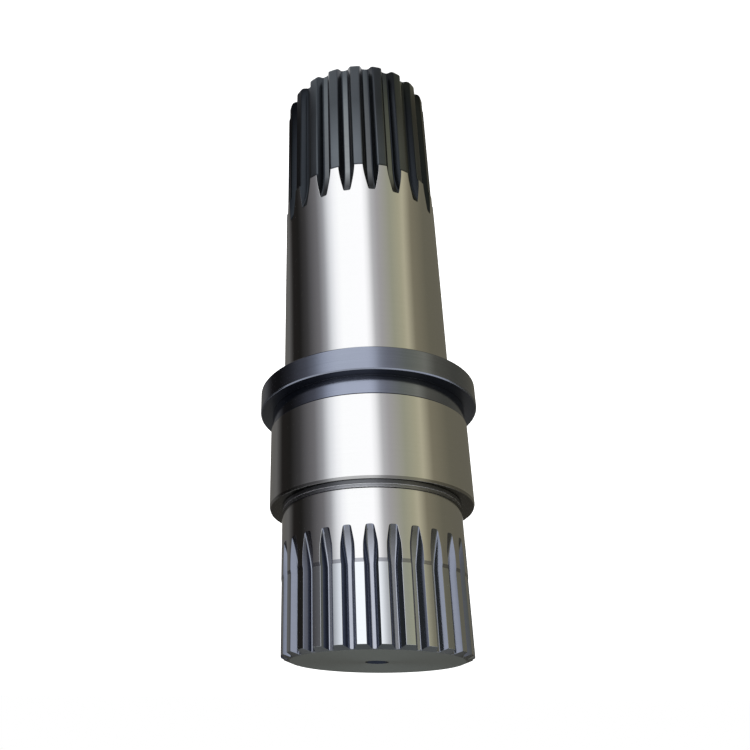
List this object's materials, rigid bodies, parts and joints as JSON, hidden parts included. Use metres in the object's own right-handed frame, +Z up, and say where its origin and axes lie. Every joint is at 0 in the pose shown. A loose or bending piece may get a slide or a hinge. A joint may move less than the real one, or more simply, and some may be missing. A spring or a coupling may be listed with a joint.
{
  "type": "splined shaft",
  "caption": "Solid stepped steel shaft with a coarse external spline at one end, a finer one at the other, a collar and ground seats between them.",
  "frame": {"origin": "middle of the long spline's end face, on which the shaft stands", "axes": "+Z up the shaft's axis, from the long spline to the short one; -Y through a tooth space of the short spline"},
  "size_m": [0.113, 0.113, 0.3372],
  "materials": {
    "ground_steel": "ground seats, dark turned collar and neck, dark hobbed teeth"
  },
  "bodies": {
    "root": {"splined_shaft": "ground_steel"}
  },
  "joints": []
}
